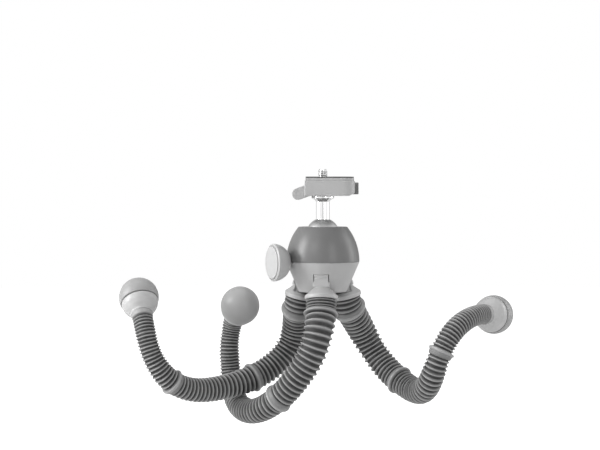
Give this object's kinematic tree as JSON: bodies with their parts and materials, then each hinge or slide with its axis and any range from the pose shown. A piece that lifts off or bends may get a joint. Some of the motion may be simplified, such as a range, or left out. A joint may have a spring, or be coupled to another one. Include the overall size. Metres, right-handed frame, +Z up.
{
  "type": "flexible leg tripod",
  "caption": "Tripod with a ball head, quick-release plate and ribbed bendable legs, shown with the legs wound round a bar-sized space.",
  "frame": {"origin": "on the axis of the bar-sized space that the legs wind round, under the ball head", "axes": "+X along that space to the right, +Y to the back, +Z up through the head"},
  "size_m": [0.2728, 0.0787, 0.1758],
  "materials": {
    "light_plastic": "fine matt grain",
    "dark_plastic": "fine matt grain",
    "inner_plastic": "plain",
    "pale_plastic": "satin",
    "seat_plastic": "plain",
    "ball_metal": "satin",
    "chrome": "polished",
    "steel": "plain",
    "core_wire": "drawn wire",
    "sleeve_rubber": "satin, ribbed",
    "foot_rubber": "matt",
    "pad_rubber": "matt"
  },
  "bodies": {
    "housing": {"housing_base": "light_plastic", "housing_top": "dark_plastic", "leg_yoke": "inner_plastic", "hinge_pins": "steel", "yoke_screws": "steel"},
    "knob": {"knob": "light_plastic", "knob_cap": "pale_plastic", "cam_shaft": "steel"},
    "lifter": {"lifter": "steel"},
    "ball_seat": {"seat_cup": "seat_plastic"},
    "ball": {"ball": "ball_metal"},
    "platform": {"stem": "chrome", "clamp_body": "light_plastic", "lever_pin": "steel", "button_spring": "steel"},
    "clamp_lever": {"clamp_lever": "light_plastic"},
    "lock_button": {"lock_button": "dark_plastic"},
    "plate": {"plate": "light_plastic", "plate_pad": "pad_rubber"},
    "plate_screw": {"plate_screw": "steel"},
    "leg_a_1": {"leg_a_shoulder": "light_plastic", "leg_a_core_top": "core_wire", "leg_a_sleeve_1": "sleeve_rubber"},
    "leg_a_2": {"leg_a_sleeve_2": "sleeve_rubber"},
    "leg_a_3": {"leg_a_sleeve_3": "sleeve_rubber"},
    "leg_a_4": {"leg_a_sleeve_4": "sleeve_rubber"},
    "leg_a_5": {"leg_a_sleeve_5": "sleeve_rubber", "leg_a_core_end": "core_wire", "leg_a_foot_cup": "pale_plastic", "leg_a_foot_ball": "foot_rubber"},
    "leg_b_1": {"leg_b_shoulder": "light_plastic", "leg_b_core_top": "core_wire", "leg_b_sleeve_1": "sleeve_rubber"},
    "leg_b_2": {"leg_b_sleeve_2": "sleeve_rubber"},
    "leg_b_3": {"leg_b_sleeve_3": "sleeve_rubber"},
    "leg_b_4": {"leg_b_sleeve_4": "sleeve_rubber"},
    "leg_b_5": {"leg_b_sleeve_5": "sleeve_rubber", "leg_b_core_end": "core_wire", "leg_b_foot_cup": "pale_plastic", "leg_b_foot_ball": "foot_rubber"},
    "leg_c_1": {"leg_c_shoulder": "light_plastic", "leg_c_core_top": "core_wire", "leg_c_sleeve_1": "sleeve_rubber"},
    "leg_c_2": {"leg_c_sleeve_2": "sleeve_rubber"},
    "leg_c_3": {"leg_c_sleeve_3": "sleeve_rubber"},
    "leg_c_4": {"leg_c_sleeve_4": "sleeve_rubber"},
    "leg_c_5": {"leg_c_sleeve_5": "sleeve_rubber", "leg_c_core_end": "core_wire", "leg_c_foot_cup": "pale_plastic", "leg_c_foot_ball": "foot_rubber"}
  },
  "joints": [
    {"name": "knob_turn", "type": "hinge", "parent": "housing", "child": "knob", "pos_m": [0, 0, 0.061], "axis": [-0.9135, -0.4067, 0], "range_deg": [0, 180]},
    {"name": "lifter_drop", "type": "slide", "parent": "housing", "child": "lifter", "axis": [0, 0, -1], "range_m": [0, 0.00031]},
    {"name": "ball_pan", "type": "hinge", "parent": "housing", "child": "ball_seat", "pos_m": [0, 0, 0.0796], "axis": [0, 0, 1], "continuous": true},
    {"name": "ball_tilt", "type": "hinge", "parent": "ball_seat", "child": "ball", "pos_m": [0, 0, 0.0796], "axis": [0, 1, 0], "range_deg": [-35, 35]},
    {"name": "platform_spin", "type": "hinge", "parent": "ball", "child": "platform", "pos_m": [0, 0, 0.1035], "axis": [0, 0, 1], "continuous": true},
    {"name": "lever_swing", "type": "hinge", "parent": "platform", "child": "clamp_lever", "pos_m": [-0.0108, 0, 0.1099], "axis": [0, -1, 0], "range_deg": [0, 45]},
    {"name": "button_push", "type": "slide", "parent": "platform", "child": "lock_button", "axis": [-1, 0, 0], "range_m": [0, 0.0015], "stiffness_N_per_m": 400, "springref_m": -0.002, "deforming": ["button_spring"]},
    {"name": "plate_lift", "type": "slide", "parent": "platform", "child": "plate", "axis": [0, 0, 1], "range_m": [0, 0.015]},
    {"name": "screw_turn", "type": "hinge", "parent": "plate", "child": "plate_screw", "pos_m": [0, 0, 0.1194], "axis": [0, 0, 1], "continuous": true},
    {"name": "leg_a_shoulder_hinge", "type": "hinge", "parent": "housing", "child": "leg_a_1", "pos_m": [-0.0008, -0.01518, 0.048], "axis": [-0.9986, 0.0523, 0], "range_deg": [-10, 20]},
    {"name": "leg_a_bend_1", "type": "hinge", "parent": "leg_a_1", "child": "leg_a_2", "pos_m": [-0.00323, -0.0277, 0.01341], "axis": [-0.5284, -0.8222, 0.2116], "range_deg": [-12, 38.3], "deforming": ["leg_a_sleeve_1", "leg_a_sleeve_2"]},
    {"name": "leg_a_bend_2", "type": "hinge", "parent": "leg_a_2", "child": "leg_a_3", "pos_m": [-0.02748, -0.02114, -0.02808], "axis": [-0.7641, -0.4948, 0.4139], "range_deg": [-12, 48.1], "deforming": ["leg_a_sleeve_2", "leg_a_sleeve_3"]},
    {"name": "leg_a_bend_3", "type": "hinge", "parent": "leg_a_3", "child": "leg_a_4", "pos_m": [-0.05881, 0.01561, -0.04039], "axis": [-0.7734, -0.6258, 0.1013], "range_deg": [-12, 87.6], "deforming": ["leg_a_sleeve_3", "leg_a_sleeve_4"]},
    {"name": "leg_a_bend_4", "type": "hinge", "parent": "leg_a_4", "child": "leg_a_5", "pos_m": [-0.06654, 0.03258, 0.00124], "axis": [-0.9419, -0.3354, -0.0193], "range_deg": [-12, 80], "deforming": ["leg_a_sleeve_4", "leg_a_sleeve_5"]},
    {"name": "leg_b_shoulder_hinge", "type": "hinge", "parent": "housing", "child": "leg_b_1", "pos_m": [-0.01316, 0.0076, 0.048], "axis": [0.5, 0.866, 0], "range_deg": [-10, 20]},
    {"name": "leg_b_bend_1", "type": "hinge", "parent": "leg_b_1", "child": "leg_b_2", "pos_m": [-0.01837, 0.02291, 0.0161], "axis": [0.4987, -0.8403, -0.2124], "range_deg": [-12, 32.9], "deforming": ["leg_b_sleeve_1", "leg_b_sleeve_2"]},
    {"name": "leg_b_bend_2", "type": "hinge", "parent": "leg_b_2", "child": "leg_b_3", "pos_m": [-0.04584, 0.01741, -0.01964], "axis": [0.5852, -0.7503, -0.3075], "range_deg": [-12, 45.2], "deforming": ["leg_b_sleeve_2", "leg_b_sleeve_3"]},
    {"name": "leg_b_bend_3", "type": "hinge", "parent": "leg_b_3", "child": "leg_b_4", "pos_m": [-0.08784, -0.01273, -0.02573], "axis": [0.5728, -0.8136, 0.0994], "range_deg": [-12, 51.9], "deforming": ["leg_b_sleeve_3", "leg_b_sleeve_4"]},
    {"name": "leg_b_bend_4", "type": "hinge", "parent": "leg_b_4", "child": "leg_b_5", "pos_m": [-0.11665, -0.02787, 0.00618], "axis": [0.787, -0.3056, 0.5359], "range_deg": [-12, 65.2], "deforming": ["leg_b_sleeve_4", "leg_b_sleeve_5"]},
    {"name": "leg_c_shoulder_hinge", "type": "hinge", "parent": "housing", "child": "leg_c_1", "pos_m": [0.01316, 0.0076, 0.048], "axis": [0.5, -0.866, 0], "range_deg": [-10, 20]},
    {"name": "leg_c_bend_1", "type": "hinge", "parent": "leg_c_1", "child": "leg_c_2", "pos_m": [0.0244, 0.02189, 0.01713], "axis": [0.53, 0.8199, 0.2166], "range_deg": [-12, 25.6], "deforming": ["leg_c_sleeve_1", "leg_c_sleeve_2"]},
    {"name": "leg_c_bend_2", "type": "hinge", "parent": "leg_c_2", "child": "leg_c_3", "pos_m": [0.05108, 0.01638, -0.02071], "axis": [0.7993, 0.3817, 0.4641], "range_deg": [-12, 71.1], "deforming": ["leg_c_sleeve_2", "leg_c_sleeve_3"]},
    {"name": "leg_c_bend_3", "type": "hinge", "parent": "leg_c_3", "child": "leg_c_4", "pos_m": [0.07354, -0.02414, -0.01521], "axis": [0.7747, 0.3388, -0.5338], "range_deg": [-12, 87.8], "deforming": ["leg_c_sleeve_3", "leg_c_sleeve_4"]},
    {"name": "leg_c_bend_4", "type": "hinge", "parent": "leg_c_4", "child": "leg_c_5", "pos_m": [0.09759, -0.01422, 0.02207], "axis": [0.7891, -0.5183, -0.3298], "range_deg": [-12, 68.8], "deforming": ["leg_c_sleeve_4", "leg_c_sleeve_5"]}
  ],
  "couplings": [
    {"joint": "lifter_drop", "follows": "knob_turn", "m_per_rad": 0.000095493}
  ]
}
